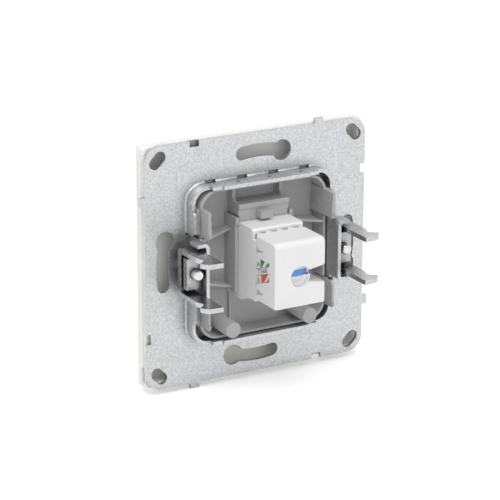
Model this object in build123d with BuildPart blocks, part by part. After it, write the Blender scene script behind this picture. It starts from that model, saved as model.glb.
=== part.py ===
from build123d import *
import os

os.makedirs("parts", exist_ok=True)

# Flush wall socket for one network plug, seen from the room at -Y.
# The origin is the centre of the steel plate, on the face that meets the wall.
# +X is right as seen from the room, +Y points into the wall and +Z is up.
# Sketches are drawn as seen from behind: u runs to -X, v runs up, depth is Y.

# Steel support plate
plate_size = 70.5
plate_corner_r = 4.8
sheet = 1.0
bend_r = 0.8
slot_margin = 5.15
slot_circle_d = plate_size - 2 * slot_margin
entry_r = 3.0
entry_angle = 75.0
slot_sweep = 24.6
slot_width = 3.8
corner_slot_margin = 4.0
corner_slot_pitch = plate_size - 2 * corner_slot_margin
corner_slot_length = 5.6
corner_slot_width = 3.5
edge_feature_offset = 19.9
tab_width = 2.7
tab_height = 1.5
notch_width = 2.9
notch_depth = 1.6
opening_w = 43.2
opening_h = 44.0
opening_r = 4.0
side_flange_depth = 4.7
corner_flange_depth = 3.6
corner_flange_u = 16.9
corner_flange_v = 16.3
shoulder_flange_depth = 5.2
centre_flange_depth = 5.8
centre_flange_w = 27.4
perforation_pitch = 10.0
perforation_count = 4
perforation_w = 3.2
perforation_h = 1.3

# Channels that guide the claws, folded up from the plate
guide_face_u = 20.6
guide_half_h = 8.9
guide_depth = 9.9
guide_lip_w = 3.7
guide_lip_start = 5.5
guide_bend_r = 1.5
relief_slit = 0.7
relief_length = 1.3

# Spreader claws with their screws and clamp nuts
claw_screw_u = 23.8
screw_d = 2.9
screw_clearance = 0.07
screw_length = 8.9
screw_head_d = 5.2
screw_head_h = 1.9
screw_seat_gap = 0.1
screw_slot_w = 0.8
screw_slot_depth = 0.9
claw_sheet = 1.35
claw_outer_u = 27.0
claw_inner_u = 22.6
claw_arm_gap = 11.2
claw_front = 3.4
claw_bar_depth = 1.4
claw_bar_w = 1.5
claw_rear = 21.3
claw_tip_u = 28.3
claw_tip_depth = 18.6
claw_waist_u = 26.2
claw_waist_depth = 16.4
claw_shoulder_run = 3.0
nut_h = 9.1
nut_outer_u = 26.35
nut_front = 5.5
nut_rear = 7.5
nut_gap = 0.3

# White cover on the room side
cover_inset = 0.25
cover_size = plate_size - 2 * cover_inset
cover_corner_r = 0.9
cover_rear = 1.5
cover_side_depth = 4.0
cover_crown = 1.8
cover_crown_run = 2.8
cover_wall = 1.6
cover_rebate = 0.3
cover_rebate_depth = 1.2
window_gap = 0.25
leg_w = 7.0
leg_t = 1.2
leg_gap = 0.15
pry_width = 4.6
pry_height = 1.5
pry_v = -31.3

# Grey jack holder
holder_gap = 0.3
holder_corner_r = 5.8
holder_wall = 0.7
holder_floor = 1.2
holder_floor_depth = 2.6
holder_rim = 3.7
holder_flange_w = 46.0
holder_flange_h = 48.0
holder_flange_t = 1.2
claw_wall_rear = 3.4
claw_wall_half_h = 9.0
claw_wall_slit = 0.45
wing_h = 7.55
wing_rear = 8.6
wing_corner_r = 1.7
wing_nub = 0.5
wing_nub_h = 0.8
wing_nub_rise = 1.1
rib_t = 0.65
rib_upper_outer_v = 7.2
rib_upper_inner_v = 8.9
rib_upper_inner_depth = 0.6
rib_lower_outer_v = -4.7
rib_lower_inner_v = -8.1
rib_lower_inner_depth = 1.5
pad_depth = 1.8
pin_u = 12.4
pin_v = -18.1
pin_r = 2.25
pin_rear = 8.7
beam_w = 16.0
beam_neck_w = 15.4
beam_neck_top = 13.1
beam_bottom = 11.45
beam_top = 16.3
beam_rear = 3.5
beam_band_h = 1.3
beam_band_step = 0.4
beam_lug_u = -0.5
beam_lug_v = 13.15
beam_lug_w = 3.75
beam_lug_h = 2.1
beam_lug_rear = 6.3
tower_wall = 0.9
tower_rear = 0.0
cheek_gap = 0.15
cheek_wall = 0.95
cheek_bottom = -9.0
cheek_top = 12.7
cheek_step_v = 10.7
cheek_rear = 3.6
cheek_top_rear = 4.0

# Network jack
jack_v = 1.0
nose_w = 14.7
nose_h = 16.6
nose_gap = 0.12
jack_front = 7.1
jack_w = 16.0
jack_top = 11.3
jack_bottom = -9.05
jack_bottom_front = 9.0
jack_foot = -10.9
jack_foot_rear = 5.0
jack_rear = 11.4
jack_edge_r = 0.8
skirt_top = 8.5
skirt_rear = 13.0
skirt_wall = 0.9
port_w = 11.9
port_h = 6.9
port_v = 0.6
key_w = 6.4
key_h = 1.3
catch_w = 3.6
catch_h = 1.2
key_depth = 6.0
board_front = 6.1
board_t = 1.2
board_w = jack_w - 2.4
board_h = 17.2
inner_gap = 0.3
contact_count = 8
contact_pitch = 1.016
contact_w = 0.36
contact_t = 0.3
contact_drop = 0.95
contact_lean = 0.15
contact_tip_depth = 2.0
contact_tip_drop = 2.5
comb_w = 12.8
comb_h = 2.4
comb_front = 5.5
terminal_pitch = 3.53
terminal_count = 4
terminal_row_v = 5.6
terminal_w = 2.0
terminal_t = 0.4
terminal_top = 14.8
terminal_slit = 0.45
terminal_slit_depth = 3.6
tower_h = 3.4
tower_top = 16.2
block_base_t = 2.2
wire_slot_w = 1.3
wire_slot_depth = 4.7

# Cap that presses the conductors home
cap_inset = 0.1
cap_w = jack_w - 2 * cap_inset
cap_h = 18.6
cap_gap = 0.3
cap_front = skirt_rear + cap_gap
cap_rear = 23.9
cap_wall = 0.9
cap_back_t = 1.4
cap_edge_r = 1.6
cap_tongue_w = 13.8
cap_tongue_front = jack_rear + cap_gap
cap_scallop_r = 1.2
cable_hole_r = 3.1
cable_hole_v = 0.0
cable_slot_inner_h = 2.6
cable_slot_outer_h = 5.2
cable_slot_front = 15.0
trough_wall = 0.8
guide_fit = 0.1
guide_plate_t = 1.2
guide_plate_rear = 18.3
guide_post_rear = 21.8
guide_post_u = 0.55
guide_post_v = 0.75
guide_post_w = 4.3
guide_post_h = 2.9
guide_post_r = 0.8
guide_notch_u = 2.9
guide_notch_bottom = -4.2
guide_notch_top = 2.6


def behind(depth=0.0):
    """A sketch plane seen from behind: local x is u, local y is v, and it faces +Y."""
    return Plane(origin=(0, depth, 0), x_dir=(-1, 0, 0), z_dir=(0, 1, 0))


def across(u):
    """A side section at u: local x is depth, local y is v, and it faces away from +u."""
    return Plane(origin=(-u, 0, 0), x_dir=(0, 1, 0), z_dir=(1, 0, 0))


def above(v):
    """A level section at v, seen from above: local x is u, local y is -depth."""
    return Plane(origin=(0, 0, v), x_dir=(-1, 0, 0), z_dir=(0, 0, 1))


def save(builder, name):
    """Label a finished piece and write it to its own file."""
    builder.part.label = name
    export_step(builder.part, f"parts/{name}.step")


# Steel support plate: flat sheet, folded collar round the opening, guide channels
with BuildPart() as support_plate:
    with BuildSketch(behind(-sheet)):
        RectangleRounded(plate_size, plate_size, plate_corner_r)
        with PolarLocations(0, 4):
            with Locations((edge_feature_offset, plate_size / 2)):
                Rectangle(tab_width, 2 * tab_height)
            with Locations((-edge_feature_offset, plate_size / 2)):
                Rectangle(notch_width, 2 * notch_depth, mode=Mode.SUBTRACT)
            with Locations((corner_slot_pitch / 2, corner_slot_pitch / 2)):
                SlotOverall(
                    corner_slot_length, corner_slot_width, rotation=-45, mode=Mode.SUBTRACT
                )
        for quarter in range(4):
            start = entry_angle + 90 * quarter
            with PolarLocations(slot_circle_d / 2, 1, start_angle=start):
                Circle(entry_r, mode=Mode.SUBTRACT)
            slot_line = CenterArc(
                (0, 0), slot_circle_d / 2, start, slot_sweep, mode=Mode.PRIVATE
            )
            SlotArc(slot_line, slot_width, mode=Mode.SUBTRACT)
    extrude(amount=sheet)
    with BuildSketch(behind(-sheet)):
        RectangleRounded(opening_w + 2 * sheet, opening_h + 2 * sheet, opening_r + sheet)
    extrude(amount=sheet + centre_flange_depth)
    with BuildSketch(behind(-sheet)):
        RectangleRounded(opening_w, opening_h, opening_r)
    extrude(amount=sheet + centre_flange_depth, mode=Mode.SUBTRACT)
    collar_root = (
        support_plate.faces()
        .filter_by(Axis.Y)
        .filter_by(lambda f: abs(f.center().Y) < 0.01)
        .sort_by(SortBy.AREA)[-1]
        .inner_wires()
        .sort_by(SortBy.LENGTH)[-1]
    )
    fillet(collar_root.edges(), bend_r * 0.6)
    collar_mouth = (
        support_plate.faces()
        .filter_by(Axis.Y)
        .sort_by(Axis.Y)[0]
        .inner_wires()
        .sort_by(SortBy.LENGTH)[-1]
    )
    chamfer(collar_mouth.edges(), bend_r * 0.6)
    # The collar is deepest at the middle of the top and bottom, and low at its corners.
    with BuildSketch(behind(shoulder_flange_depth)):
        with Locations((-plate_size / 2, 0), (plate_size / 2, 0)):
            Rectangle(plate_size - centre_flange_w, plate_size)
    extrude(amount=2 * sheet, mode=Mode.SUBTRACT)
    side_cut_w = plate_size - 2 * corner_flange_u
    with BuildSketch(behind(side_flange_depth)):
        with Locations((-plate_size / 2, 0), (plate_size / 2, 0)):
            Rectangle(side_cut_w, 2 * corner_flange_v)
    extrude(amount=2 * sheet, mode=Mode.SUBTRACT)
    with BuildSketch(behind(corner_flange_depth)):
        with GridLocations(plate_size, plate_size, 2, 2):
            Rectangle(side_cut_w, plate_size - 2 * corner_flange_v)
    extrude(amount=centre_flange_depth, mode=Mode.SUBTRACT)
    with BuildSketch(behind(-sheet)):
        with Locations((-opening_w / 2, 0), (opening_w / 2, 0)):
            Rectangle(2 * relief_length, 2 * (guide_half_h + relief_slit))
    extrude(amount=2 * sheet + side_flange_depth, mode=Mode.SUBTRACT)
    side_flange_ends = support_plate.edges().filter_by(Axis.X).filter_by(
        lambda e: abs(e.center().Y - side_flange_depth) < 0.01
    )
    fillet(side_flange_ends, (side_flange_depth - corner_flange_depth) * 0.9)
    # Small windows along the fold keep the top and bottom folds square.
    with BuildSketch(behind(-sheet)):
        with Locations((0, opening_h / 2 + sheet), (0, -opening_h / 2 - sheet)):
            with GridLocations(perforation_pitch, 1, perforation_count, 1):
                Rectangle(perforation_w, perforation_h)
    extrude(amount=sheet + bend_r, mode=Mode.SUBTRACT)
    for side in (-1, 1):
        wall_u = side * (guide_face_u + sheet / 2)
        root_u = side * (opening_w / 2 + relief_length)
        with BuildSketch(behind(-sheet)):
            with Locations(((wall_u + root_u) / 2 - side * sheet / 4, 0)):
                Rectangle(abs(root_u - wall_u) + sheet / 2, 2 * guide_half_h)
        extrude(amount=sheet)
        with BuildSketch(behind(-sheet)):
            with Locations((wall_u, 0)):
                Rectangle(sheet, 2 * guide_half_h)
        extrude(amount=sheet + guide_lip_start)
        lip_v = guide_half_h - sheet / 2
        lip_end = wall_u + side * (guide_lip_w - sheet / 2)
        with BuildSketch(behind(guide_lip_start)):
            with BuildLine():
                FilletPolyline(
                    (lip_end, lip_v),
                    (wall_u, lip_v),
                    (wall_u, -lip_v),
                    (lip_end, -lip_v),
                    radius=guide_bend_r - sheet / 2,
                )
            trace(line_width=sheet)
        extrude(amount=guide_depth - guide_lip_start)
    with BuildSketch(behind(-sheet)):
        with Locations((-claw_screw_u, 0), (claw_screw_u, 0)):
            Circle(screw_d / 2 + screw_clearance)
    extrude(amount=sheet, mode=Mode.SUBTRACT)
save(support_plate, "support_plate")


# Claw: a bent strip with two hooked arms, joined by a narrow bar at the front
def claw_arm_outline(side):
    """Outline of one arm, seen from above, with its curled tooth at the rear."""
    front = (side * claw_inner_u, -claw_front)
    corner = (side * claw_outer_u, -claw_front)
    shoulder = (side * claw_outer_u, -(claw_waist_depth - claw_shoulder_run))
    waist = (side * claw_waist_u, -claw_waist_depth)
    tip = (side * claw_tip_u, -claw_tip_depth)
    heel = (side * claw_inner_u, -claw_rear)
    with BuildLine() as outline:
        Polyline(heel, front, corner, shoulder)
        Spline(shoulder, waist, tip, tangents=[(0, -1), (side * 0.9, -0.5)])
        crown = (side * (claw_tip_u - 2.2), -(claw_rear - 0.25))
        ThreePointArc(tip, (side * (claw_tip_u - 0.75), -(claw_rear - 1.25)), crown)
        Line(crown, heel)
    return outline


def build_claw(side):
    arm_low = claw_arm_gap / 2
    with BuildPart() as claw:
        for level in (arm_low, -arm_low - claw_sheet):
            with BuildSketch(above(level)):
                add(make_face(claw_arm_outline(side).edges(), mode=Mode.PRIVATE))
            extrude(amount=claw_sheet)
        bar_u = side * (claw_outer_u - claw_bar_w / 2)
        with BuildSketch(behind(claw_front)):
            with Locations((bar_u, 0)):
                Rectangle(claw_bar_w, claw_arm_gap + 2 * claw_sheet)
        extrude(amount=claw_bar_depth)
        bends = (
            claw.edges()
            .filter_by(Axis.X)
            .group_by(Axis.Y)[0]
            .filter_by(lambda e: abs(abs(e.center().Z) - arm_low - claw_sheet) < 0.01)
        )
        fillet(bends, claw_sheet * 0.95)
    return claw


claw_left = build_claw(1)
save(claw_left, "claw_left")
claw_right = build_claw(-1)
save(claw_right, "claw_right")


# Clamp nut inside each claw, and the screw that draws it forward
def build_nut(side):
    inner_u = guide_face_u + sheet + nut_gap
    with BuildPart() as nut:
        with BuildSketch(behind(nut_front)):
            with Locations((side * (inner_u + nut_outer_u) / 2, 0)):
                Rectangle(nut_outer_u - inner_u, nut_h)
            with Locations((side * claw_screw_u, 0)):
                Circle(screw_d / 2 + screw_clearance, mode=Mode.SUBTRACT)
        extrude(amount=nut_rear - nut_front)
    return nut


def build_screw(side):
    head_front = -sheet - screw_seat_gap - screw_head_h
    with BuildPart() as screw:
        with BuildSketch(behind(head_front)):
            with Locations((side * claw_screw_u, 0)):
                Circle(screw_head_d / 2)
        extrude(amount=screw_head_h)
        with BuildSketch(behind(head_front + screw_head_h)):
            with Locations((side * claw_screw_u, 0)):
                Circle(screw_d / 2)
        extrude(amount=screw_length - head_front - screw_head_h)
        chamfer(screw.edges().sort_by(Axis.Y)[-1], 0.3)
        for turn in (0, 90):
            with BuildSketch(behind(head_front)):
                with Locations((side * claw_screw_u, 0)):
                    Rectangle(screw_head_d * 0.75, screw_slot_w, rotation=turn)
            extrude(amount=screw_slot_depth, mode=Mode.SUBTRACT)
    return screw


for side, hand in ((1, "left"), (-1, "right")):
    save(build_nut(side), f"clamp_nut_{hand}")
    save(build_screw(side), f"claw_screw_{hand}")


# White cover: shallow tray with a crowned front, closed round the jack's nose
cover_front = cover_rear + cover_side_depth + cover_crown
window_w = nose_w + 2 * window_gap
window_h = nose_h + 2 * window_gap
holder_w = 2 * (guide_face_u - holder_gap)
holder_h = opening_h - 2 * holder_gap
with BuildPart() as cover_plate:
    with BuildSketch(behind(-cover_rear - cover_side_depth)):
        RectangleRounded(cover_size, cover_size, cover_corner_r)
    extrude(amount=cover_side_depth)
    with BuildSketch(behind(-cover_rear - cover_side_depth)):
        RectangleRounded(cover_size, cover_size, cover_corner_r)
    crown_size = cover_size - 2 * cover_crown_run
    with BuildSketch(behind(-cover_front)):
        RectangleRounded(crown_size, crown_size, cover_corner_r * 0.6)
    loft()
    cavity_size = cover_size - 2 * cover_wall
    with BuildSketch(behind(-cover_front + cover_crown)):
        RectangleRounded(cavity_size, cavity_size, cover_corner_r)
    extrude(amount=cover_side_depth, mode=Mode.SUBTRACT)
    with BuildSketch(behind(-cover_rear - cover_rebate_depth)):
        Rectangle(cover_size + 2, cover_size + 2)
        rebate_size = cover_size - 2 * cover_rebate
        RectangleRounded(rebate_size, rebate_size, cover_corner_r, mode=Mode.SUBTRACT)
    extrude(amount=cover_rebate_depth, mode=Mode.SUBTRACT)
    with BuildSketch(behind(-cover_front)):
        with Locations((0, jack_v)):
            Rectangle(window_w, window_h)
    extrude(amount=cover_crown, mode=Mode.SUBTRACT)
    leg_v = holder_flange_h / 2 + leg_gap + leg_t / 2
    leg_u = holder_flange_w / 2 + leg_gap + leg_t / 2
    with BuildSketch(behind(-cover_front + cover_crown)):
        with Locations((0, leg_v), (0, -leg_v)):
            Rectangle(leg_w, leg_t)
        with GridLocations(2 * leg_u, holder_flange_h * 0.6, 2, 2):
            Rectangle(leg_t, leg_w)
    extrude(amount=cover_side_depth - leg_gap)
    with BuildSketch(across(-cover_size / 2)):
        with Locations((-cover_rear - cover_rebate_depth, pry_v)):
            Rectangle(pry_height, pry_width)
    extrude(amount=-cover_wall, mode=Mode.SUBTRACT)
save(cover_plate, "cover_plate")

# Grey holder: moulded tray that carries the jack behind the cover
floor_front = -holder_floor_depth - holder_floor
cheek_inner_u = jack_w / 2 + cheek_gap
cheek_outer_u = cheek_inner_u + cheek_wall


def sloping_rib(side, outer_v, inner_v, inner_depth):
    """Rib from the side wall to the cheek; its rear edge sinks towards the jack."""
    outer_u = side * (holder_w / 2 - holder_wall / 2)
    inner_u = side * (cheek_outer_u - cheek_wall / 2)
    with BuildPart() as rib:
        with BuildSketch(behind(-holder_floor_depth)):
            with BuildLine():
                Line((outer_u, outer_v), (inner_u, inner_v))
            trace(line_width=rib_t)
        extrude(amount=holder_floor_depth + claw_wall_rear)
        with BuildSketch(above(-holder_h / 2)):
            with BuildLine():
                Polyline(
                    (outer_u, -claw_wall_rear),
                    (inner_u, -inner_depth),
                    (inner_u - side, -inner_depth),
                    (inner_u - side, -claw_wall_rear - 1),
                    (outer_u, -claw_wall_rear - 1),
                    close=True,
                )
            make_face()
        extrude(amount=holder_h, mode=Mode.SUBTRACT)
    return rib.part


with BuildPart() as jack_holder:
    with BuildSketch(behind(floor_front)):
        RectangleRounded(holder_w, holder_h, holder_corner_r)
    extrude(amount=holder_floor + holder_floor_depth + holder_rim)
    inner_w = holder_w - 2 * holder_wall
    inner_h = holder_h - 2 * holder_wall
    with BuildSketch(behind(-holder_floor_depth)):
        RectangleRounded(inner_w, inner_h, holder_corner_r - holder_wall)
    extrude(amount=holder_floor_depth + holder_rim, mode=Mode.SUBTRACT)
    # Beside the claws the side walls are lower, and slits part them from their neighbours.
    with BuildSketch(behind(claw_wall_rear)):
        with GridLocations(holder_w, 0, 2, 1):
            Rectangle(4 * holder_wall, 2 * claw_wall_half_h)
    extrude(amount=holder_rim, mode=Mode.SUBTRACT)
    with BuildSketch(behind(-sheet)):
        with GridLocations(holder_w, 2 * claw_wall_half_h + claw_wall_slit, 2, 2):
            Rectangle(4 * holder_wall, claw_wall_slit)
    extrude(amount=sheet + holder_rim, mode=Mode.SUBTRACT)
    # Wings of the same wall stand above and below the claws, each with a small nub.
    wing_bottom = claw_wall_half_h + claw_wall_slit
    for wall_u in (-holder_w / 2, holder_w / 2 - holder_wall):
        for low in (wing_bottom, -wing_bottom - wing_h):
            high = low + wing_h
            with BuildSketch(across(wall_u)):
                with BuildLine():
                    Polyline(
                        (wing_rear - wing_corner_r, high),
                        (0, high),
                        (0, low),
                        (wing_rear, low),
                        (wing_rear, high - wing_corner_r),
                    )
                    round_centre = (wing_rear - wing_corner_r, high - wing_corner_r)
                    CenterArc(round_centre, wing_corner_r, 0, 90)
                make_face()
                with Locations((wing_rear, low + wing_nub_rise)):
                    Rectangle(2 * wing_nub, wing_nub_h)
            extrude(amount=-holder_wall)
    with BuildSketch(behind(-sheet - holder_flange_t)):
        RectangleRounded(holder_flange_w, holder_flange_h, holder_corner_r)
        RectangleRounded(inner_w, inner_h, holder_corner_r - holder_wall, mode=Mode.SUBTRACT)
        with Locations((-claw_screw_u, 0), (claw_screw_u, 0)):
            Circle(screw_head_d / 2 + holder_gap, mode=Mode.SUBTRACT)
    extrude(amount=holder_flange_t)
    for side in (-1, 1):
        add(sloping_rib(side, rib_upper_outer_v, rib_upper_inner_v, rib_upper_inner_depth))
        add(sloping_rib(side, rib_lower_outer_v, rib_lower_inner_v, rib_lower_inner_depth))
    # Upper catch for the jack: side walls and a banded cross beam with a lug
    with BuildSketch(behind(-holder_floor_depth)):
        with GridLocations(beam_w - tower_wall, 0, 2, 1):
            with Locations((0, (beam_neck_top + inner_h / 2) / 2)):
                Rectangle(tower_wall, inner_h / 2 - beam_neck_top)
    extrude(amount=holder_floor_depth + tower_rear)
    with BuildSketch(across(-beam_w / 2)):
        with BuildLine():
            Polyline(
                (-holder_floor_depth, beam_neck_top),
                (beam_rear, beam_neck_top),
                (beam_rear, beam_top - beam_band_h),
                (beam_rear + beam_band_step, beam_top - beam_band_h),
                (beam_rear + beam_band_step, beam_top),
                (tower_rear + 1, beam_top),
                (tower_rear, beam_top + 1),
                (-holder_floor_depth, beam_top + 1),
                close=True,
            )
        make_face()
    extrude(amount=-beam_w)
    with BuildSketch(behind(-holder_floor_depth)):
        with Locations((0, (beam_bottom + beam_neck_top) / 2)):
            Rectangle(beam_neck_w, beam_neck_top - beam_bottom)
    extrude(amount=holder_floor_depth + beam_rear)
    with BuildSketch(behind(-holder_floor_depth)):
        with Locations((0, beam_top + 1)):
            Rectangle(beam_w - 2 * tower_wall, 2)
    extrude(amount=holder_floor_depth + tower_rear + 1, mode=Mode.SUBTRACT)
    with BuildSketch(behind(0)):
        with Locations((beam_lug_u, beam_lug_v)):
            Rectangle(beam_lug_w, beam_lug_h)
    extrude(amount=beam_lug_rear)
    # Cheeks on both sides of the jack, with a raised head near the beam
    for cheek_u in (-cheek_outer_u, cheek_inner_u):
        with BuildSketch(across(cheek_u)):
            with BuildLine():
                Polyline(
                    (-holder_floor_depth, cheek_bottom),
                    (cheek_rear, cheek_bottom),
                    (cheek_rear, cheek_step_v - 0.4),
                    (cheek_top_rear, cheek_step_v),
                    (cheek_top_rear, cheek_top),
                    (-holder_floor_depth, cheek_top),
                    close=True,
                )
            make_face()
        extrude(amount=-cheek_wall)
    # Raised pad below the jack, and the two round pins
    pad_top = jack_foot - cheek_gap
    with BuildSketch(behind(-holder_floor_depth)):
        with Locations((0, (pad_top - inner_h / 2) / 2)):
            Rectangle(jack_w, inner_h / 2 + pad_top)
    extrude(amount=holder_floor_depth - pad_depth)
    with BuildSketch(behind(-holder_floor_depth)):
        with Locations((-pin_u, pin_v), (pin_u, pin_v)):
            Circle(pin_r)
    extrude(amount=holder_floor_depth + pin_rear)
    # Window for the jack's nose
    with BuildSketch(behind(floor_front)):
        with Locations((0, jack_v)):
            Rectangle(nose_w + 2 * nose_gap, nose_h + 2 * nose_gap)
    extrude(amount=holder_floor, mode=Mode.SUBTRACT)
save(jack_holder, "jack_holder")

# Jack body: shouldered shell with the plug port in front and the terminals behind
port_top = port_v + port_h / 2
port_bottom = port_v - port_h / 2
with BuildPart() as jack_body:
    with BuildSketch(behind(-jack_front)):
        with Locations((0, jack_v)):
            Rectangle(nose_w, nose_h)
    extrude(amount=jack_front - holder_floor_depth)
    with BuildSketch(across(-jack_w / 2)):
        with BuildLine():
            Polyline(
                (-holder_floor_depth, jack_foot),
                (jack_foot_rear, jack_foot),
                (jack_bottom_front, jack_bottom),
                (skirt_rear, jack_bottom),
                (skirt_rear, skirt_top),
                (jack_rear, skirt_top),
                (jack_rear, jack_top),
                (-holder_floor_depth, jack_top),
                close=True,
            )
        make_face()
    extrude(amount=-jack_w)
    rim = jack_body.edges().filter_by(Axis.X).filter_by(
        lambda e: abs(e.center().Y - jack_rear) < 0.01 and e.center().Z > skirt_top + 1
    )
    fillet(rim, jack_edge_r)
    with BuildSketch(behind(-jack_front)):
        with Locations((0, port_v)):
            Rectangle(port_w, port_h)
    extrude(amount=jack_front + board_front, mode=Mode.SUBTRACT)
    with BuildSketch(behind(-jack_front)):
        with Locations((0, port_bottom - key_h / 2)):
            Rectangle(key_w, key_h)
        with Locations((0, port_bottom - key_h - catch_h / 2)):
            Rectangle(catch_w, catch_h)
    extrude(amount=key_depth, mode=Mode.SUBTRACT)
    with BuildSketch(behind(-comb_front - 0.1)):
        with Locations((0, port_top + comb_h / 2 + 0.1)):
            Rectangle(comb_w + 0.2, comb_h + 0.2)
    extrude(amount=comb_front + 0.1 + board_front, mode=Mode.SUBTRACT)
    with BuildSketch(behind(board_front)):
        with Locations((0, jack_v)):
            Rectangle(board_w + 2 * inner_gap, board_h + 2 * inner_gap)
    extrude(amount=jack_rear - board_front, mode=Mode.SUBTRACT)
    skirt_floor = jack_bottom + skirt_wall
    with BuildSketch(behind(board_front + board_t)):
        with Locations((0, (skirt_floor + skirt_top) / 2)):
            Rectangle(jack_w - 2 * skirt_wall, skirt_top - skirt_floor)
    extrude(amount=skirt_rear - board_front, mode=Mode.SUBTRACT)
save(jack_body, "jack_body")

# Comb that guides the eight contact springs above the port
contact_span = (contact_count - 1) * contact_pitch
with BuildPart() as contact_comb:
    with BuildSketch(behind(-comb_front)):
        with Locations((0, port_top + 0.1 + comb_h / 2)):
            Rectangle(comb_w, comb_h)
    extrude(amount=comb_front + board_front - 0.1)
    with BuildSketch(behind(-comb_front + 0.3)):
        with Locations((0, port_top + 0.1 + comb_h * 0.3)):
            with GridLocations(contact_pitch, 1, contact_count, 1):
                Rectangle(contact_w + 0.24, comb_h * 0.6)
    extrude(amount=comb_front + board_front, mode=Mode.SUBTRACT)
save(contact_comb, "contact_comb")

# Each spring runs along the comb, bends down at its front and slopes back into the port.
half_t = contact_t / 2
spring_v = port_top + 0.1 + comb_h * 0.6 - 0.15 - half_t
spring_bend = -comb_front + 0.6
spring_low = spring_v - contact_drop
spring_tip = port_top - contact_tip_drop
for index in range(contact_count):
    contact_u = index * contact_pitch - contact_span / 2
    with BuildPart() as contact_spring:
        with BuildSketch(across(contact_u + contact_w / 2)):
            with BuildLine():
                Polyline(
                    (board_front, spring_v + half_t),
                    (spring_bend - half_t, spring_v + half_t),
                    (spring_bend - half_t + contact_lean, spring_low - half_t),
                    (contact_tip_depth, spring_tip - half_t),
                    (contact_tip_depth, spring_tip + half_t),
                    (spring_bend + half_t + contact_lean, spring_low + half_t),
                    (spring_bend + half_t, spring_v - half_t),
                    (board_front, spring_v - half_t),
                    close=True,
                )
            make_face()
        extrude(amount=contact_w)
    save(contact_spring, f"contact_spring_{index + 1}")

# Circuit board between the springs and the terminals
with BuildPart() as circuit_board:
    with BuildSketch(behind(board_front)):
        with Locations((0, jack_v)):
            Rectangle(board_w, board_h)
    extrude(amount=board_t)
save(circuit_board, "circuit_board")

# Terminal block: two rows of slotted towers, four conductors in each row
block_front = board_front + board_t
terminal_span = (terminal_count - 1) * terminal_pitch
rows = (jack_v + terminal_row_v, jack_v - terminal_row_v)
with BuildPart() as terminal_block:
    with BuildSketch(behind(block_front)):
        with Locations((0, jack_v)):
            Rectangle(board_w - 0.2, board_h - 0.2)
    extrude(amount=block_base_t)
    for row_v in rows:
        with BuildSketch(behind(block_front)):
            with Locations((0, row_v)):
                Rectangle(board_w - 0.2, tower_h)
        extrude(amount=tower_top - block_front)
        with BuildSketch(behind(block_front)):
            with Locations((0, row_v)):
                with GridLocations(terminal_pitch, 1, terminal_count, 1):
                    Rectangle(terminal_w + 0.3, terminal_t + 0.3)
        extrude(amount=tower_top - block_front, mode=Mode.SUBTRACT)
        with BuildSketch(behind(tower_top - wire_slot_depth)):
            with Locations((0, row_v)):
                with GridLocations(terminal_pitch, 1, terminal_count, 1):
                    Rectangle(wire_slot_w, tower_h)
        extrude(amount=wire_slot_depth, mode=Mode.SUBTRACT)
save(terminal_block, "terminal_block")

# Forked terminals that cut through the insulation of each conductor
terminal_number = 0
for row_v in rows:
    for index in range(terminal_count):
        terminal_number += 1
        terminal_u = index * terminal_pitch - terminal_span / 2
        with BuildPart() as terminal:
            with BuildSketch(above(row_v - terminal_t / 2)):
                with Locations((terminal_u, -(block_front + terminal_top) / 2)):
                    Rectangle(terminal_w, terminal_top - block_front)
                with Locations((terminal_u, -terminal_top + terminal_slit_depth / 2)):
                    Rectangle(terminal_slit, terminal_slit_depth, mode=Mode.SUBTRACT)
            extrude(amount=terminal_t)
        save(terminal, f"terminal_{terminal_number}")

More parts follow.
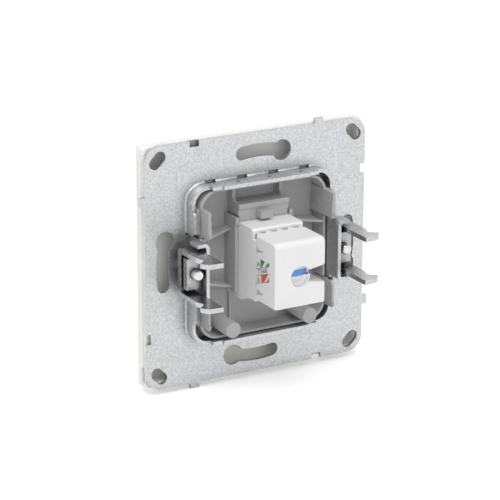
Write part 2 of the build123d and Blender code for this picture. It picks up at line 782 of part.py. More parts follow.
# Rear cap: box over the terminals, with a front tongue, wire scallops and a cable keyhole
with BuildPart() as rear_cap:
    with BuildSketch(behind(cap_front)):
        with Locations((0, jack_v)):
            Rectangle(cap_w, cap_h)
    extrude(amount=cap_rear - cap_front)
    top_edge = rear_cap.faces().sort_by(Axis.Y)[-1].edges().filter_by(Axis.X)
    fillet(top_edge.sort_by(Axis.Z)[-1], cap_edge_r)
    side_edges = rear_cap.faces().sort_by(Axis.Y)[-1].edges().filter_by(Axis.Z)
    chamfer(side_edges, cap_edge_r * 0.3)
    with BuildSketch(behind(cap_front)):
        with Locations((0, jack_v)):
            Rectangle(cap_w - 2 * cap_wall, cap_h - 2 * cap_wall)
    extrude(amount=cap_rear - cap_front - cap_back_t, mode=Mode.SUBTRACT)
    with BuildSketch(behind(cap_tongue_front)):
        with Locations((0, jack_v + cap_h / 2 - cap_wall / 2)):
            Rectangle(cap_tongue_w, cap_wall)
    extrude(amount=cap_front - cap_tongue_front)
    for scallop_depth, start_v in ((cap_tongue_front, jack_v), (cap_front, jack_v - cap_h)):
        with BuildSketch(above(start_v)):
            with Locations((0, -scallop_depth)):
                with GridLocations(terminal_pitch, 1, terminal_count, 1):
                    Circle(cap_scallop_r)
        extrude(amount=cap_h, mode=Mode.SUBTRACT)
    # Half-round trough below the keyhole, which carries the cable's end
    trough_front = guide_plate_rear + cap_gap
    with BuildSketch(behind(trough_front)):
        with Locations((0, cable_hole_v)):
            Circle(cable_hole_r + trough_wall)
            Circle(cable_hole_r, mode=Mode.SUBTRACT)
        with Locations((0, cable_hole_v + cable_hole_r)):
            Rectangle(4 * cable_hole_r, 2 * cable_hole_r, mode=Mode.SUBTRACT)
    extrude(amount=cap_rear - cap_back_t - trough_front)
    with BuildSketch(behind(cap_rear - cap_back_t)):
        with Locations((0, cable_hole_v)):
            Circle(cable_hole_r)
        with BuildLine():
            Polyline(
                (0, cable_hole_v - cable_slot_inner_h / 2),
                (cap_w / 2, cable_hole_v - cable_slot_outer_h / 2),
                (cap_w / 2, cable_hole_v + cable_slot_outer_h / 2),
                (0, cable_hole_v + cable_slot_inner_h / 2),
                close=True,
            )
        make_face()
    extrude(amount=cap_back_t, mode=Mode.SUBTRACT)
    with BuildSketch(across(cap_w / 2 - cap_wall)):
        with Locations(((cable_slot_front + cap_rear) / 2, cable_hole_v)):
            Rectangle(cap_rear - cable_slot_front, cable_slot_outer_h)
    extrude(amount=-cap_wall, mode=Mode.SUBTRACT)
save(rear_cap, "rear_cap")

# Blue guide inside the cap that parts the four pairs
with BuildPart() as wire_guide:
    with BuildSketch(behind(guide_plate_rear - guide_plate_t)):
        with Locations((0, jack_v)):
            Rectangle(
                cap_w - 2 * cap_wall - 2 * guide_fit,
                cap_h - 2 * cap_wall - 2 * guide_fit,
            )
        with Locations((0, jack_v)):
            with GridLocations(terminal_pitch, 2 * terminal_row_v, terminal_count, 2):
                Rectangle(wire_slot_w, tower_h, mode=Mode.SUBTRACT)
        notch_v = (guide_notch_bottom + guide_notch_top) / 2
        with Locations(((guide_notch_u + cap_w / 2) / 2, notch_v)):
            notch_h = guide_notch_top - guide_notch_bottom
            Rectangle(cap_w / 2 - guide_notch_u, notch_h, mode=Mode.SUBTRACT)
    extrude(amount=guide_plate_t)
    with BuildSketch(behind(guide_plate_rear)):
        with Locations((guide_post_u, guide_post_v)):
            RectangleRounded(guide_post_w, guide_post_h, guide_post_r)
    extrude(amount=guide_post_rear - guide_plate_rear)
save(wire_guide, "wire_guide")
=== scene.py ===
# %% [markdown]
# # A flush wall socket, seen from behind
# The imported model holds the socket's hard shapes: the steel support plate, the cover, the
# grey holder, the jack and the two spreader claws. This lesson dresses them for a render.
# It adds finishes, the small parts that a drawing leaves out, a camera and soft light.
# Everything is in metres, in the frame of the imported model: -Y is the room, +Z is up.

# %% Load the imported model
import math

import bmesh
import bpy
from mathutils import Matrix, Vector


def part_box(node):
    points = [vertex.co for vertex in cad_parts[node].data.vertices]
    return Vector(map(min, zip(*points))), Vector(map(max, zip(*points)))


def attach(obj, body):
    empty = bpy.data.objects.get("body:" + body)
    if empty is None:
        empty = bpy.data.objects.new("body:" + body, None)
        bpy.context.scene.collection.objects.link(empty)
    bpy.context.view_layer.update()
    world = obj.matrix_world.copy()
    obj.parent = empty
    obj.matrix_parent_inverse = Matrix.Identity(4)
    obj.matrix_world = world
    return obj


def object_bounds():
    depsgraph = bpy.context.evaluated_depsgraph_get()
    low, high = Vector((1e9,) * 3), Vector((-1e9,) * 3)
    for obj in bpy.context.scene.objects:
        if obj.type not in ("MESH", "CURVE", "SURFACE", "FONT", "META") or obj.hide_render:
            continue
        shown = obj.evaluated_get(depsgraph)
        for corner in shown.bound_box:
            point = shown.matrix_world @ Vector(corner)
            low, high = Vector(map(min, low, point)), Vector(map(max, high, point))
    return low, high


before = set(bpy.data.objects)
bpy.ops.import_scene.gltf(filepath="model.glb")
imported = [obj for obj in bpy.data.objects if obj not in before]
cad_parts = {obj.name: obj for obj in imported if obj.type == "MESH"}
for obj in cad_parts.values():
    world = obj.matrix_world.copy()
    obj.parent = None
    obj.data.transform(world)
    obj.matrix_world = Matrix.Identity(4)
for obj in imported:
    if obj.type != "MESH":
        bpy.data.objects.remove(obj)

MM = 0.001
BUMP_REACH = 0.02 * MM
cad_box = [list(corner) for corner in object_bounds()]

# %% [markdown]
# ## The camera
# The photograph was taken from behind, a little from the side and from above, with a long
# lens. The plate's four edges were measured in it, and the place and lens below put the
# packed plate on those edges. The camera could be aimed by a Track To constraint, but a
# matrix built from three directions also keeps the small tilt of the horizon.

# %% Place the camera
camera_place = Vector((0.30605, 0.52955, 0.20286))
camera_back = Vector((0.472475, 0.823674, 0.313573)).normalized()
camera_tilt = math.radians(0.26)

level_right = Vector((0, 0, 1)).cross(camera_back).normalized()
level_up = camera_back.cross(level_right)
camera_right = level_right * math.cos(camera_tilt) + level_up * math.sin(camera_tilt)
camera_up = camera_back.cross(camera_right)

camera_data = bpy.data.cameras.new("photo_camera")
camera_data.sensor_width = 36.0
camera_data.lens = 165.17
camera_data.clip_start = 0.01
camera_data.clip_end = 20.0
camera = bpy.data.objects.new("photo_camera", camera_data)
axes = Matrix((camera_right, camera_up, camera_back)).transposed()
camera.matrix_world = Matrix.Translation(camera_place) @ axes.to_4x4()
bpy.context.collection.objects.link(camera)
bpy.context.scene.camera = camera
print("camera lens", camera_data.lens, "at", tuple(round(v, 3) for v in camera_place))

# %% [markdown]
# ## Small helpers for finishes
# Every finish below is a Principled shader with procedural nodes on it. Two helpers keep
# the cells short: one adds a node and fills its inputs, one starts a new finish. Values
# that are the same all over the surface are set on the shader's own sockets.

# %% Helpers for nodes
def add_node(tree, kind, settings=None, **values):
    """Add a node; settings are its properties, values are its unlinked inputs."""
    node = tree.nodes.new(kind)
    for name, value in (settings or {}).items():
        setattr(node, name, value)
    for name, value in values.items():
        node.inputs[name.replace("_", " ")].default_value = value
    return node


def new_finish(name, **values):
    """Start a finish with a Principled shader; values fill the shader's sockets."""
    finish = bpy.data.materials.new(name)
    finish.use_nodes = True
    shader = finish.node_tree.nodes["Principled BSDF"]
    for socket, value in values.items():
        shader.inputs[socket.replace("_", " ")].default_value = value
    return finish, finish.node_tree, shader


def new_effect(name, inputs, outputs):
    """Start a node group; inputs are (name, default) and outputs are names."""
    group = bpy.data.node_groups.new(name, "ShaderNodeTree")
    for label, default in inputs:
        socket = group.interface.new_socket(label, in_out="INPUT", socket_type="NodeSocketFloat")
        socket.default_value = default
    for label in outputs:
        group.interface.new_socket(label, in_out="OUTPUT", socket_type="NodeSocketFloat")
    return group, group.nodes.new("NodeGroupInput"), group.nodes.new("NodeGroupOutput")


def place_effect(tree, group, **values):
    """Put a node group into a finish, with its own values."""
    node = tree.nodes.new("ShaderNodeGroup")
    node.node_tree = group
    for name, value in values.items():
        node.inputs[name.replace("_", " ")].default_value = value
    return node


def add_bump(tree, shader, height, strength, distance=BUMP_REACH):
    """Feed a height into the shader's normal."""
    bump = add_node(tree, "ShaderNodeBump", Strength=strength, Distance=distance)
    tree.links.new(height, bump.inputs["Height"])
    tree.links.new(bump.outputs["Normal"], shader.inputs["Normal"])


print("helpers ready")

# %% [markdown]
# ## Zinc mottle
# Hot-dipped sheet is covered in zinc crystals. On thin strip they are small, about half a
# millimetre, so the sheet looks clouded rather than flowered. A Voronoi cell pattern gives
# the crystals a tone of their own, a soft noise gives the clouds, and both also shift the
# roughness, because crystals that lie at other angles shine differently.

# %% Zinc mottle group
zinc_mottle, group_in, group_out = new_effect(
    "zinc_mottle",
    [("Crystal Size", 0.5), ("Crystal Depth", 0.5), ("Cloud Depth", 0.5)],
    ["Tone", "Sheen", "Height"],
)
nodes, links = zinc_mottle.nodes, zinc_mottle.links
place = nodes.new("ShaderNodeTexCoord")
frequency = add_node(zinc_mottle, "ShaderNodeMath", {"operation": "DIVIDE"})
frequency.inputs[0].default_value = 1000.0
links.new(group_in.outputs["Crystal Size"], frequency.inputs[1])
cells = add_node(zinc_mottle, "ShaderNodeTexVoronoi", {"feature": "F1"}, Randomness=1.0)
links.new(place.outputs["Object"], cells.inputs["Vector"])
links.new(frequency.outputs[0], cells.inputs["Scale"])
cell_tone = add_node(zinc_mottle, "ShaderNodeSeparateColor")
links.new(cells.outputs["Color"], cell_tone.inputs[0])
clouds = add_node(zinc_mottle, "ShaderNodeTexNoise", Scale=260.0, Detail=5.0, Roughness=0.62)
links.new(place.outputs["Object"], clouds.inputs["Vector"])
fine = add_node(zinc_mottle, "ShaderNodeTexNoise", Scale=2600.0, Detail=3.0, Roughness=0.7)
links.new(place.outputs["Object"], fine.inputs["Vector"])


def centred(tree, source, depth):
    """(source - 0.5) * depth, with depth from a socket."""
    shift = add_node(tree, "ShaderNodeMath", {"operation": "SUBTRACT"})
    tree.links.new(source, shift.inputs[0])
    shift.inputs[1].default_value = 0.5
    scaled = add_node(tree, "ShaderNodeMath", {"operation": "MULTIPLY"})
    tree.links.new(shift.outputs[0], scaled.inputs[0])
    tree.links.new(depth, scaled.inputs[1])
    return scaled.outputs[0]


def total(tree, first, second):
    """Sum of two sockets."""
    node = add_node(tree, "ShaderNodeMath", {"operation": "ADD"})
    tree.links.new(first, node.inputs[0])
    tree.links.new(second, node.inputs[1])
    return node.outputs[0]


crystal_part = centred(zinc_mottle, cell_tone.outputs[0], group_in.outputs["Crystal Depth"])
cloud_part = centred(zinc_mottle, clouds.outputs["Fac"], group_in.outputs["Cloud Depth"])
fine_part = centred(zinc_mottle, fine.outputs["Fac"], group_in.outputs["Crystal Depth"])
tone = total(zinc_mottle, total(zinc_mottle, crystal_part, cloud_part), fine_part)
links.new(tone, group_out.inputs["Tone"])
links.new(cell_tone.outputs[1], group_out.inputs["Sheen"])
height = total(zinc_mottle, cells.outputs["Distance"], fine.outputs["Fac"])
links.new(height, group_out.inputs["Height"])
print("group", zinc_mottle.name, "with", len(zinc_mottle.nodes), "nodes")

# %% [markdown]
# ## Moulded grain
# Injection-moulded plastic takes the fine spark-eroded grain of its tool. Up close it is a
# noise a tenth of a millimetre wide, with a slow drift in gloss where the melt flowed.
# One group serves every plastic here; each finish sets how strong the grain is.

# %% Moulded grain group
moulded_grain, group_in, group_out = new_effect(
    "moulded_grain", [("Grain Scale", 6000.0), ("Drift Scale", 90.0)], ["Grain", "Drift"]
)
nodes, links = moulded_grain.nodes, moulded_grain.links
place = nodes.new("ShaderNodeTexCoord")
grain = add_node(moulded_grain, "ShaderNodeTexNoise", Detail=2.0, Roughness=0.55)
drift = add_node(moulded_grain, "ShaderNodeTexNoise", Detail=3.0, Roughness=0.5)
for noise, scale_name, out_name in (
    (grain, "Grain Scale", "Grain"), (drift, "Drift Scale", "Drift")
):
    links.new(place.outputs["Object"], noise.inputs["Vector"])
    links.new(group_in.outputs[scale_name], noise.inputs["Scale"])
    links.new(noise.outputs["Fac"], group_out.inputs[out_name])
print("group", moulded_grain.name, "with", len(moulded_grain.nodes), "nodes")

# %% [markdown]
# ## Finishes for the metal parts
# The support plate is galvanised sheet: pale grey, clouded and only half shiny. The claws
# and nuts are thicker strip, plated after bending, so they are smoother and mirror their
# surroundings. The screws are the brightest. All use the zinc mottle, with less and less
# depth. Polished metal in a hollow mirrors the dark walls round it, and the soft world here
# is too even to show that. So each colour gets painted shade: it is dimmed by an Ambient
# Occlusion node, which measures how closed in a point is. On the polished parts this is a
# painted reflection of the dark walls, and on the sheet and the contacts it is painted shade
# in the corners. Darker paint in the corners would do the same for one pose, but this
# follows the parts as they move.

# %% Metal finishes
def tone_to_colour(tree, source, dark, light, low=0.3, high=0.7):
    """Map a tone to a colour between dark and light."""
    ramp = add_node(tree, "ShaderNodeMapRange", {"data_type": "FLOAT", "clamp": True})
    ramp.inputs["From Min"].default_value = low
    ramp.inputs["From Max"].default_value = high
    tree.links.new(source, ramp.inputs["Value"])
    mix = add_node(tree, "ShaderNodeMix", {"data_type": "RGBA"})
    mix.inputs[6].default_value = (*dark, 1)
    mix.inputs[7].default_value = (*light, 1)
    tree.links.new(ramp.outputs["Result"], mix.inputs["Factor"])
    return mix.outputs[2]


def tone_to_value(tree, source, low, high, out_low, out_high):
    """Map a tone to a plain value, such as a roughness."""
    ramp = add_node(tree, "ShaderNodeMapRange", {"clamp": True})
    for name, value in (
        ("From Min", low), ("From Max", high), ("To Min", out_low), ("To Max", out_high)
    ):
        ramp.inputs[name].default_value = value
    tree.links.new(source, ramp.inputs["Value"])
    return ramp.outputs["Result"]


def metal_finish(name, dark, light, rough, crystal, depth, cloud, bump, hollow):
    """Mottled metal with painted shade. hollow is the reach of the painted shade in hollows, and
    what is left there.
    """
    finish, tree, shader = new_finish(name, Metallic=1.0)
    mottle = place_effect(
        tree, zinc_mottle, Crystal_Size=crystal, Crystal_Depth=depth, Cloud_Depth=cloud
    )
    tone_span = 0.35
    colour = tone_to_colour(tree, mottle.outputs["Tone"], dark, light, -tone_span, tone_span)
    # Painted shade: the colour is dimmed where the AO node finds a point closed in.
    opening = add_node(tree, "ShaderNodeAmbientOcclusion", {"samples": 8}, Distance=hollow[0])
    closed, open_air = 0.15, 0.85
    shade = tone_to_value(tree, opening.outputs["AO"], closed, open_air, hollow[1], 1.0)
    dimmed = add_node(tree, "ShaderNodeMix", {"data_type": "RGBA", "blend_type": "MULTIPLY"})
    dimmed.inputs["Factor"].default_value = 1.0
    tree.links.new(colour, dimmed.inputs[6])
    tree.links.new(shade, dimmed.inputs[7])
    tree.links.new(dimmed.outputs[2], shader.inputs["Base Color"])
    gloss = tone_to_value(tree, mottle.outputs["Sheen"], 0, 1, rough[0], rough[1])
    tree.links.new(gloss, shader.inputs["Roughness"])
    add_bump(tree, shader, mottle.outputs["Height"], bump)
    return finish


galvanised = metal_finish(
    "galvanised_sheet",
    (0.49, 0.495, 0.505), (0.64, 0.645, 0.655), (0.40, 0.50), 0.32, 0.9, 0.35, 0.25,
    (0.006, 0.45),
)
plated_strip = metal_finish(
    "plated_strip", (0.46, 0.46, 0.47), (0.60, 0.60, 0.61), (0.24, 0.32), 0.5, 0.4, 0.5, 0.1,
    (0.008, 0.06),
)
bright_screw = metal_finish(
    "bright_screw", (0.60, 0.60, 0.60), (0.72, 0.72, 0.72), (0.18, 0.26), 0.5, 0.2, 0.5, 0.08,
    (0.004, 0.2),
)
tinned_bronze = metal_finish(
    "tinned_bronze", (0.58, 0.55, 0.50), (0.70, 0.67, 0.61), (0.22, 0.32), 0.4, 0.2, 0.5, 0.08,
    (0.002, 0.5),
)
gilt_contact = metal_finish(
    "gilt_contact", (0.72, 0.50, 0.20), (0.86, 0.64, 0.30), (0.18, 0.26), 0.4, 0.2, 0.5, 0.05,
    (0.001, 0.9),
)
print("metal finishes:", galvanised.name, plated_strip.name, bright_screw.name)
print("contact finishes:", tinned_bronze.name, gilt_contact.name)

# %% [markdown]
# ## Finishes for the plastic parts
# The cover is a warm white with some gloss, and thin enough to let a little light through,
# so it also gets some subsurface scattering. The holder is a mid grey with a matte grain.
# The jack and its cap are a neutral white. The wire guide is a plain blue plastic, and the
# circuit board shows green lacquer. Each takes the moulded grain with its own strength.

# %% Plastic finishes
def plastic_finish(name, dark, light, rough, grain_scale, bump, **values):
    """Grained plastic; rough is (low, high), and values fill the shader's sockets."""
    finish, tree, shader = new_finish(name, **values)
    grain_node = place_effect(tree, moulded_grain, Grain_Scale=grain_scale, Drift_Scale=110.0)
    colour = tone_to_colour(tree, grain_node.outputs["Drift"], dark, light, 0.25, 0.75)
    tree.links.new(colour, shader.inputs["Base Color"])
    gloss = tone_to_value(tree, grain_node.outputs["Grain"], 0.3, 0.7, rough[0], rough[1])
    tree.links.new(gloss, shader.inputs["Roughness"])
    add_bump(tree, shader, grain_node.outputs["Grain"], bump)
    return finish


cover_white = plastic_finish(
    "cover_white", (0.84, 0.84, 0.81), (0.88, 0.88, 0.85), (0.3, 0.36), 5000.0, 0.08,
    Subsurface_Weight=0.4, Subsurface_Scale=0.003, Subsurface_Radius=(1.0, 1.0, 1.0),
)
holder_grey = plastic_finish(
    "holder_grey", (0.38, 0.38, 0.38), (0.42, 0.42, 0.42), (0.5, 0.62), 5200.0, 0.3
)
jack_white = plastic_finish(
    "jack_white", (0.77, 0.77, 0.77), (0.81, 0.81, 0.81), (0.34, 0.42), 5600.0, 0.1
)
terminal_white = plastic_finish(
    "terminal_white", (0.74, 0.75, 0.76), (0.79, 0.80, 0.81), (0.4, 0.48), 5600.0, 0.1
)
guide_blue = plastic_finish(
    "guide_blue", (0.10, 0.28, 0.72), (0.12, 0.32, 0.80), (0.3, 0.38), 5600.0, 0.1
)
board_green = plastic_finish(
    "board_green", (0.02, 0.12, 0.06), (0.03, 0.16, 0.08), (0.28, 0.36), 3000.0, 0.1
)
print("plastic finishes:", cover_white.name, holder_grey.name, jack_white.name, guide_blue.name)

# %% [markdown]
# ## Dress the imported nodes
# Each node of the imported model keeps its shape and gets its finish. Real edges are never
# knife sharp, and a sharp edge catches no light, so every node also gets a Weld modifier,
# which joins the corners of its triangles, and a narrow Bevel. The sheet steel has crisp
# edges, and the mouldings have softer ones. The contacts are too thin to need either.

# %% Give every node its finish and its soft edges
node_finish = {
    "support_plate": (galvanised, 0.10),
    "cover_plate": (cover_white, 0.20),
    "jack_holder": (holder_grey, 0.14),
    "claw_left": (plated_strip, 0.14),
    "claw_right": (plated_strip, 0.14),
    "clamp_nut_left": (plated_strip, 0.12),
    "clamp_nut_right": (plated_strip, 0.12),
    "claw_screw_left": (bright_screw, 0.08),
    "claw_screw_right": (bright_screw, 0.08),
    "jack_body": (jack_white, 0.15),
    "contact_comb": (terminal_white, 0.05),
    "circuit_board": (board_green, 0.05),
    "terminal_block": (terminal_white, 0.10),
    "rear_cap": (jack_white, 0.16),
    "wire_guide": (guide_blue, 0.12),
}
for number in range(1, 9):
    node_finish[f"contact_spring_{number}"] = (gilt_contact, 0.0)
    node_finish[f"terminal_{number}"] = (tinned_bronze, 0.0)


def soften_edges(piece, width_mm, sharp_degrees=35.0, segments=2):
    """Weld the triangles of a node together and round its sharp edges."""
    weld = piece.modifiers.new("weld", "WELD")
    weld.merge_threshold = 0.001 * MM
    bevel = piece.modifiers.new("soft_edges", "BEVEL")
    bevel.width = width_mm * MM
    bevel.segments = segments
    bevel.limit_method = "ANGLE"
    bevel.angle_limit = math.radians(sharp_degrees)
    bevel.harden_normals = True


for node_name, (finish, edge_mm) in node_finish.items():
    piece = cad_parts[node_name]
    for slot in piece.material_slots:
        slot.material = finish
    if edge_mm:
        soften_edges(piece, edge_mm)
print("dressed", len(node_finish), "nodes")

# %% [markdown]
# ## Small solids that the drawing leaves out
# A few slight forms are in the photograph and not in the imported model. Nearly all of them
# are flat sided, so each can be the convex hull of a few points, which needs no list of
# faces. Modelling them by hand would do as well, but points keep their sizes readable.
# Points are given in millimetres as the camera sees them: across to the right, up, and out
# of the wall. Each piece rides on the body that carries it.

# %% Helper for small solids
def link_piece(name, mesh, finish, body):
    """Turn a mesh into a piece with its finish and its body."""
    mesh.materials.clear()
    mesh.materials.append(finish)
    piece = bpy.data.objects.new(name, mesh)
    bpy.context.collection.objects.link(piece)
    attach(piece, body)


def hull_piece(name, groups, finish, body):
    """One piece from several groups of points, each closed by its own hull."""
    work = bmesh.new()
    for points in groups:
        corners = [work.verts.new((-u * MM, w * MM, v * MM)) for u, v, w in points]
        bmesh.ops.convex_hull(work, input=corners)
    bmesh.ops.recalc_face_normals(work, faces=work.faces)
    mesh = bpy.data.meshes.new(name)
    work.to_mesh(mesh)
    work.free()
    link_piece(name, mesh, finish, body)


def block(u, v, w):
    """The eight corners of a block from three (low, high) pairs."""
    return [(a, b, c) for a in u for b in v for c in w]


print("helpers for small solids ready")

# %% [markdown]
# ## The holder's walls
# On the real socket no gap shows between the holder and the steel collar, so four linings
# fill it. The upper wings also have a square corner and a face in three flat steps, each a
# little thicker than the one above. The steps lean, because a moulded wall needs draft.
# Every face here is flat, so hulls serve for both.

# %% Linings and steps on the holder
lining_inside, lining_outside = 20.25, 21.3
lining_low, lining_high, lining_w = 9.6, 16.9, (-1.0, 3.72)
wall_inside, floor_w, wing_rear_w = 20.28, -2.55, 8.62
wing_foot, wing_rear_edge = 18.95, 19.45
wing_bands = ((14.45, 17.03, 0.0), (12.3, 14.45, 0.14), (9.6, 12.3, 0.28))
for hand, side in (("right", -1), ("left", 1)):
    linings = [
        block(
            (side * lining_inside, side * lining_outside),
            (end * lining_low, end * lining_high), lining_w,
        )
        for end in (-1, 1)
    ]
    hull_piece(f"holder_lining_{hand}", linings, holder_grey, "socket")
    steps = []
    for low, high, step in wing_bands:
        outline = (
            (wall_inside, floor_w), (wing_foot - step, floor_w),
            (wing_rear_edge - step, wing_rear_w), (wall_inside, wing_rear_w),
        )
        steps.append([(side * u, v, w) for v in (low, high) for u, w in outline])
    hull_piece(f"holder_wing_steps_{hand}", steps, holder_grey, "socket")
print("holder lined, with", len(wing_bands), "steps on each upper wing")

# %% [markdown]
# ## Painted shade in the notch and the punch pits
# Behind the notch in the plate's top edge lies a deep recess in shade, so a short tab of dark
# metal stands there as painted shade. The collar's upper face has three shallow marks of the
# tool that folded it. Pits this shallow could be a bump, but they also lie in shade, so thin
# dark ovals serve as their painted shade.

# %% Painted shade: a dark tab behind the notch in the plate's top edge, and dark ovals in three punch pits on the collar
# Painted shade: a dark metal for the recess behind the notch and for the shade in the pits.
painted_shade_metal = metal_finish(
    "painted_shade_metal", (0.20, 0.20, 0.20), (0.32, 0.32, 0.32), (0.45, 0.55), 0.32, 0.5, 0.35, 0.2,
    (0.004, 0.5),
)
# Painted shade: a dark block fills the notch's recess.
notch_shade = block((-21.54, -18.01), (33.43, 35.2), (-1.5, -1.02))
hull_piece("plate_notch_painted_shade", [notch_shade], painted_shade_metal, "socket")
pit_centres, pit_half_u, pit_half_w, pit_w = (-7.95, 2.05, 12.05), 0.8, 0.6, 3.1
pit_corners, pit_lifts = 12, (22.98, 23.02)
pit_turns = [math.tau * step / pit_corners for step in range(pit_corners)]
pits = [
    [
        (centre + pit_half_u * math.cos(turn), lift, pit_w + pit_half_w * math.sin(turn))
        for turn in pit_turns for lift in pit_lifts
    ]
    for centre in pit_centres
]
# Painted shade: thin dark ovals over the collar's pits.
hull_piece("collar_pit_painted_shade", pits, painted_shade_metal, "socket")
print("tab and", len(pit_centres), "pits in place")

# %% [markdown]
# ## Inside the cable hole
# Through the cap's keyhole one sees a white scoop, which lays the cable's end on the blue
# guide, a ledge along the side slot and a hood over the guide. The scoop is round, so it
# isn't a hull: a fan of points sinks from the hole's rim to a hollow and rises again to the
# guide, and the sheet they make is then given a thickness.

# %% Scoop, ledge and hood in the cable hole
rim_r = 3.15
scoop_top, scoop_floor, scoop_rim = -0.4, 21.85, 22.55
scoop_depth, hollow_start, scoop_thickness = 7.0, 0.3, 0.4
work = bmesh.new()
ring_steps, turn_steps = 6, 18
grid = []
for i in range(ring_steps + 1):
    reach = i / ring_steps
    row = []
    for j in range(turn_steps + 1):
        turn = math.pi + math.pi * j / turn_steps
        rim_u, rim_v = rim_r * math.cos(turn), rim_r * math.sin(turn)
        hollow = scoop_depth * abs(math.sin(turn)) * max(reach - hollow_start, 0) * (1 - reach)
        w = scoop_floor + (scoop_rim - scoop_floor) * reach**2 - hollow
        v = scoop_top + (rim_v - scoop_top) * reach
        row.append(work.verts.new((-rim_u * reach * MM, w * MM, v * MM)))
    grid.append(row)
for i in range(ring_steps):
    for j in range(turn_steps):
        work.faces.new((grid[i][j], grid[i][j + 1], grid[i + 1][j + 1], grid[i + 1][j]))
bmesh.ops.remove_doubles(work, verts=work.verts, dist=0.0005 * MM)
back = bmesh.ops.extrude_face_region(work, geom=work.faces[:])["geom"]
back_verts = [v for v in back if isinstance(v, bmesh.types.BMVert)]
bmesh.ops.translate(work, verts=back_verts, vec=(0, -scoop_thickness * MM, 0))
bmesh.ops.recalc_face_normals(work, faces=work.faces)
scoop_mesh = bpy.data.meshes.new("cable_scoop")
work.to_mesh(scoop_mesh)
work.free()
for face in scoop_mesh.polygons:
    face.use_smooth = len(face.vertices) == 4
link_piece("cable_scoop", scoop_mesh, jack_white, "cap")
ledge_ends, ledge_height, ledge_w = ((2.7, -1.74), (7.1, -2.48)), 0.6, (18.75, 22.55)
ledge = [(u, v - drop, w) for u, v in ledge_ends for drop in (0, ledge_height) for w in ledge_w]
hull_piece("cable_ledge", [ledge], jack_white, "cap")
hood = block((-2.9, 2.8), (1.65, 3.5), (21.5, 22.0))
hull_piece("cable_hood", [hood], jack_white, "cap")
print("cable hole filled in")

# %% [markdown]
# ## Printed wiring label on the cap
# The side of the cap carries a small printed label, with a row for each of the two wiring
# orders and the colours of the pairs that change places. Its rules rise towards the rear.
# Printing could be a mask in the cap's own finish, but thin inked shapes stay sharp at any
# distance, so each field is a flat shape a few hundredths of a millimetre thick. Two faint
# grey marks stand above and below the label. They show no word or sign.

# %% Inks
def ink_finish(name, colour):
    """Matte ink with a slight unevenness."""
    finish, tree, shader = new_finish(name, Roughness=0.5)
    speckle = place_effect(tree, moulded_grain, Grain_Scale=9000.0, Drift_Scale=700.0)
    dark = tuple(channel * 0.86 for channel in colour)
    tree.links.new(
        tone_to_colour(tree, speckle.outputs["Drift"], dark, colour, 0.3, 0.7),
        shader.inputs["Base Color"],
    )
    add_bump(tree, shader, speckle.outputs["Grain"], 0.1, BUMP_REACH / 2)
    return finish


ink_green = ink_finish("ink_green", (0.045, 0.26, 0.10))
ink_orange = ink_finish("ink_orange", (0.62, 0.14, 0.035))
ink_dark = ink_finish("ink_dark", (0.10, 0.085, 0.08))
ink_faint = ink_finish("ink_faint", (0.50, 0.50, 0.53))
print("inks:", ink_green.name, ink_orange.name, ink_dark.name, ink_faint.name)

# %% Label shapes
label_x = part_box("rear_cap")[1].x
label_y = 0.01325
label_rise = 0.354
label_length = 7.1
ink_thickness = 0.00003
ink_gap = 0.000004


def label_point(across_mm, up_mm, lift=0.0):
    """A point on the cap's side: across runs to the rear, and up follows the rising rules."""
    y = label_y + across_mm * MM
    z = up_mm * MM + across_mm * MM * label_rise
    return Vector((label_x + lift, y, z))


def ink_shape(name, outlines, finish):
    """Flat printed shapes, from outlines in label coordinates."""
    work = bmesh.new()
    for outline in outlines:
        base = [work.verts.new(label_point(a, u, ink_gap)) for a, u in outline]
        face = work.faces.new(base)
        top = bmesh.ops.extrude_face_region(work, geom=[face])["geom"]
        moved = [v for v in top if isinstance(v, bmesh.types.BMVert)]
        bmesh.ops.translate(work, verts=moved, vec=(ink_thickness, 0, 0))
    bmesh.ops.recalc_face_normals(work, faces=work.faces)
    mesh = bpy.data.meshes.new(name)
    work.to_mesh(mesh)
    work.free()
    link_piece(name, mesh, finish, "cap")


rule_levels = (-3.70, -1.40, 0.66)
rule_half = 0.07
rules = [
    [
        (0.0, level - rule_half), (label_length, level - rule_half),
        (label_length, level + rule_half), (0.0, level + rule_half),
    ]
    for level in rule_levels
]
ink_shape("label_rules", rules, ink_dark)
ink_shape(
    "label_green",
    [[(2.4, 0.8), (3.1, 0.8), (4.75, 2.3), (2.35, 3.2)],
     [(4.9, 0.8), (label_length, 0.8), (label_length, 1.55), (6.4, 1.9)]],
    ink_green,
)
ink_shape(
    "label_orange",
    [[(2.85, -3.55), (4.5, -3.55), (6.6, -1.36), (2.8, -1.36)],
     [(5.6, -3.6), (label_length, -3.6), (label_length, -2.3)]],
    ink_orange,
)
ink_shape(
    "label_faint_marks",
    [[(0.3, 5.3), (3.6, 4.95), (3.6, 5.3), (1.2, 6.0), (0.45, 7.0)],
     [(0.4, -6.9), (3.7, -7.4), (3.7, -7.0), (2.0, -6.4), (1.6, -5.7), (0.5, -5.5)]],
    ink_faint,
)
print("label starts at y", label_y)

# %% [markdown]
# ## Letters on the label
# The two rows of the label are lettered with the general names of the wiring orders. Text
# objects give the outlines. They are turned into meshes, because each letter has to lean
# with the rules, and a text object can't be sheared that way.

# %% Label letters
letter_lift = 0.00002


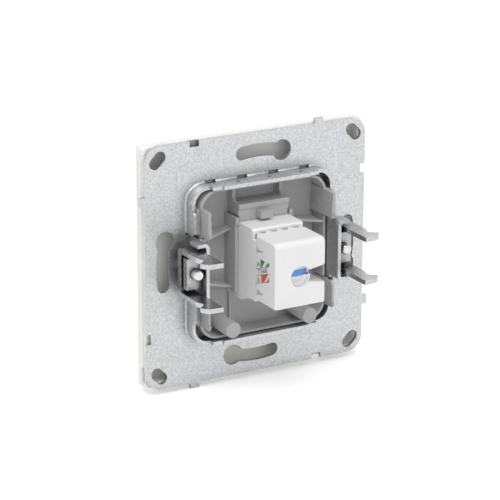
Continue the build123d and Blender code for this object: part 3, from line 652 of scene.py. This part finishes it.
def label_text(name, words, size_mm, across_mm, up_mm, stretch=1.0):
    """Raised letters on the cap's side, sheared like the rules."""
    curve = bpy.data.curves.new(name, "FONT")
    curve.body = words
    curve.size = size_mm * MM
    curve.extrude = ink_thickness / 2
    curve.resolution_u = 3
    holder = bpy.data.objects.new(name + "_outline", curve)
    bpy.context.collection.objects.link(holder)
    bpy.context.view_layer.update()
    flat = holder.evaluated_get(bpy.context.evaluated_depsgraph_get())
    mesh = bpy.data.meshes.new_from_object(flat)
    bpy.data.objects.remove(holder)
    for vertex in mesh.vertices:
        a, u, lift = vertex.co
        place = label_point(across_mm + stretch * a / MM, up_mm + u / MM)
        vertex.co = place + Vector((letter_lift + lift, 0, 0))
    link_piece(name, mesh, ink_dark, "cap")


label_text("label_letter_a", "A", 2.0, 0.35, 1.15, 1.15)
label_text("label_letter_b", "B", 2.0, 0.75, -3.4)
label_text("label_digits", "T568", 1.9, 0.85, -0.95, 1.3)
print("letters on the cap")

# %% [markdown]
# ## Screw threads
# The claw screws have a fine metric thread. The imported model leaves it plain. A thread can
# be made with a Screw modifier, but a grid of points is easier to fit: each point's radius
# depends on how far it lies along the screw and round it, which winds the ridge by itself.
# The thread also runs 0.9 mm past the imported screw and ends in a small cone, as in the photo.

# %% Thread on each claw screw
def thread_mesh(name, centre_x, y_start, y_end, core, crest, pitch, tip, round_steps=28):
    """A closed thread along Y; core, crest and tip are radii."""
    rings_a_turn = 6
    steps = int((y_end - y_start) / pitch * rings_a_turn)
    verts, faces = [], []
    for i in range(steps + 1):
        y = y_start + (y_end - y_start) * i / steps
        for j in range(round_steps):
            turn = j / round_steps
            phase = (y / pitch + turn) % 1.0
            ridge = 1.0 - abs(2.0 * phase - 1.0)
            radius = min(core + (crest - core) * ridge, tip + (y_end - y))
            angle = 2 * math.pi * turn
            verts.append((centre_x + radius * math.cos(angle), y, radius * math.sin(angle)))
    for i in range(steps):
        for j in range(round_steps):
            a = i * round_steps + j
            b = i * round_steps + (j + 1) % round_steps
            faces.append((a, b, b + round_steps, a + round_steps))
    faces.append(tuple(range(round_steps)))
    faces.append(tuple(steps * round_steps + j for j in reversed(range(round_steps))))
    mesh = bpy.data.meshes.new(name)
    mesh.from_pydata(verts, [], faces)
    return mesh


thread_core, thread_crest, thread_tip = 0.001452, 0.001508, 0.0012
thread_pitch, thread_start, thread_overrun = 0.0005, 0.0002, 0.0009
for hand in ("left", "right"):
    low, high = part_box(f"claw_screw_{hand}")
    middle = (low.x + high.x) / 2
    mesh = thread_mesh(
        f"screw_thread_{hand}", middle, thread_start, high.y + thread_overrun,
        thread_core, thread_crest, thread_pitch, thread_tip,
    )
    for face in mesh.polygons:
        face.use_smooth = len(face.vertices) == 4
    link_piece(f"screw_thread_{hand}", mesh, bright_screw, f"screw_{hand}")
print("two threads, pitch", thread_pitch)

# %% [markdown]
# ## Floor and light
# The photograph has a pure white ground. Here the socket stands on a white floor, which
# takes its shadow, and a world of plain white light closes the scene, as a light tent
# does. Large soft lamps from above and from behind the socket shape the forms. The camera,
# mirror rays and clear materials see the world at full white, and it lights the socket with
# less, so that pale surfaces keep their tone. The floor glows a little for the same rays,
# so it looks white but keeps the shadow. Real white walls would do too, but they would
# show their own corners and shadows.

# %% Floor
def direct_view(tree):
    """A Light Path node, and a value that is 1 for camera and mirror rays."""
    rays = tree.nodes.new("ShaderNodeLightPath")
    seen = add_node(tree, "ShaderNodeMath", {"operation": "MAXIMUM"})
    tree.links.new(rays.outputs["Is Camera Ray"], seen.inputs[0])
    tree.links.new(rays.outputs["Is Glossy Ray"], seen.inputs[1])
    return rays, seen


ground_z = cad_box[0][2] - 0.0001
floor_half = 3.0
floor_mesh = bpy.data.meshes.new("floor")
floor_mesh.from_pydata(
    [(x, y, ground_z) for x, y in ((-floor_half, -floor_half), (floor_half, -floor_half),
                                   (floor_half, floor_half), (-floor_half, floor_half))],
    [], [(0, 1, 2, 3)],
)
floor = bpy.data.objects.new("floor", floor_mesh)
bpy.context.collection.objects.link(floor)
floor_white, tree, shader = new_finish(
    "floor_white", Base_Color=(0.9, 0.9, 0.9, 1), Roughness=0.9, Specular_IOR_Level=0.0
)
floor_glow = 0.3
rays, seen = direct_view(tree)
lift = add_node(tree, "ShaderNodeMath", {"operation": "MULTIPLY"})
tree.links.new(seen.outputs[0], lift.inputs[0])
lift.inputs[1].default_value = floor_glow
shader.inputs["Emission Color"].default_value = (1, 1, 1, 1)
tree.links.new(lift.outputs[0], shader.inputs["Emission Strength"])
floor_mesh.materials.append(floor_white)
print("floor at z", round(ground_z, 5))

# %% World
world = bpy.data.worlds.new("light_tent")
bpy.context.scene.world = world
world.use_nodes = True
tree = world.node_tree
sky = tree.nodes["Background"]
sky.inputs["Color"].default_value = (1, 1, 1, 1)
rays, seen = direct_view(tree)
both = add_node(tree, "ShaderNodeMath", {"operation": "MAXIMUM"})
tree.links.new(seen.outputs[0], both.inputs[0])
tree.links.new(rays.outputs["Is Transmission Ray"], both.inputs[1])
world_fill = 0.68
strength = add_node(tree, "ShaderNodeMapRange", {"clamp": True})
strength.inputs["To Min"].default_value = world_fill
strength.inputs["To Max"].default_value = 1.0
tree.links.new(both.outputs[0], strength.inputs["Value"])
tree.links.new(strength.outputs["Result"], sky.inputs["Strength"])
print("world fill", world_fill)

# %% Lamps
def soft_lamp(name, place, size, power):
    """A square area lamp that points at the socket."""
    data = bpy.data.lights.new(name, "AREA")
    data.shape = "SQUARE"
    data.size = size
    data.energy = power
    lamp = bpy.data.objects.new(name, data)
    bpy.context.collection.objects.link(lamp)
    place = Vector(place)
    aim = place.to_track_quat("Z", "Y").to_matrix().to_4x4()
    lamp.matrix_world = Matrix.Translation(place) @ aim


soft_lamp("lamp_above", (0.2, 0.35, 0.85), 0.7, 4.4)
soft_lamp("lamp_rear", (-0.05, 0.9, 0.35), 0.6, 0.7)

# %% View settings
bpy.context.scene.view_settings.view_transform = "Standard"
print("view transform", bpy.context.scene.view_settings.view_transform)

# %% Sizes
print("cad box", cad_box)
